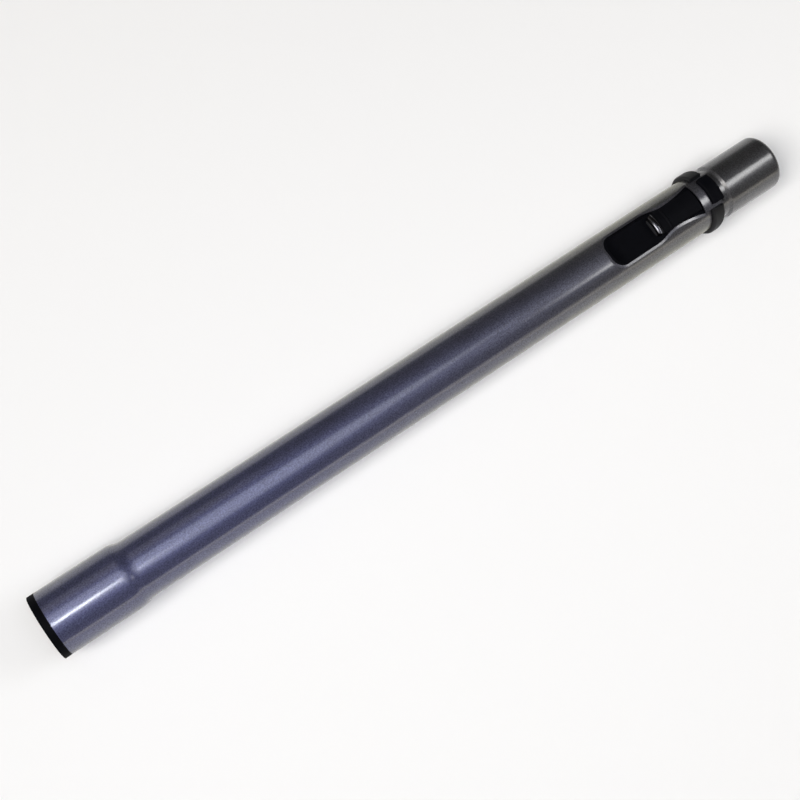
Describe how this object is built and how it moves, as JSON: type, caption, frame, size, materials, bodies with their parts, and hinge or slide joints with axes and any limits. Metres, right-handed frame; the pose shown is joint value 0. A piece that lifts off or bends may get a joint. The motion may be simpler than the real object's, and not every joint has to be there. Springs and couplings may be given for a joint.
{
  "type": "telescopic vacuum wand",
  "caption": "Collapsible painted steel suction tube: a belled socket end, an inner tube that slides out along a notched flat, and a thumb latch that locks its length.",
  "frame": {"origin": "on the tube axis where the straight bore of the hose socket begins", "axes": "+X along the tube from the socket to the spigot, +Z out of the latch, +Y to the left looking along +X"},
  "size_m": [0.5091, 0.04, 0.0396],
  "materials": {
    "tube_paint": "satin metallic blue-grey",
    "inner_paint": "satin metallic grey",
    "black_plastic": "fine-grained black",
    "button_plastic": "smooth black",
    "spring_steel": "bright",
    "pale_plastic": "natural",
    "felt": "pressed felt"
  },
  "bodies": {
    "outer": {"outer_tube": "tube_paint", "socket_liner": "black_plastic", "guide_sleeve": "black_plastic", "end_collar": "black_plastic", "wiper_ring": "felt", "detent_spring": "spring_steel"},
    "inner": {"inner_tube": "inner_paint", "guide_ring": "pale_plastic", "piston_seal": "felt"},
    "slide": {"slide_button": "button_plastic"},
    "bolt": {"lock_bolt": "spring_steel"}
  },
  "joints": [
    {"name": "telescope", "type": "slide", "parent": "outer", "child": "inner", "axis": [1, 0, 0], "range_m": [0, 0.3]},
    {"name": "thumb_slide", "type": "slide", "parent": "outer", "child": "slide", "axis": [-1, 0, 0], "range_m": [0, 0.005], "deforming": ["detent_spring"]},
    {"name": "bolt_drop", "type": "slide", "parent": "outer", "child": "bolt", "axis": [0, 0, -1], "range_m": [0, 0.0013]}
  ],
  "couplings": [
    {"joint": "bolt_drop", "follows": "thumb_slide", "ratio": 0.26}
  ]
}
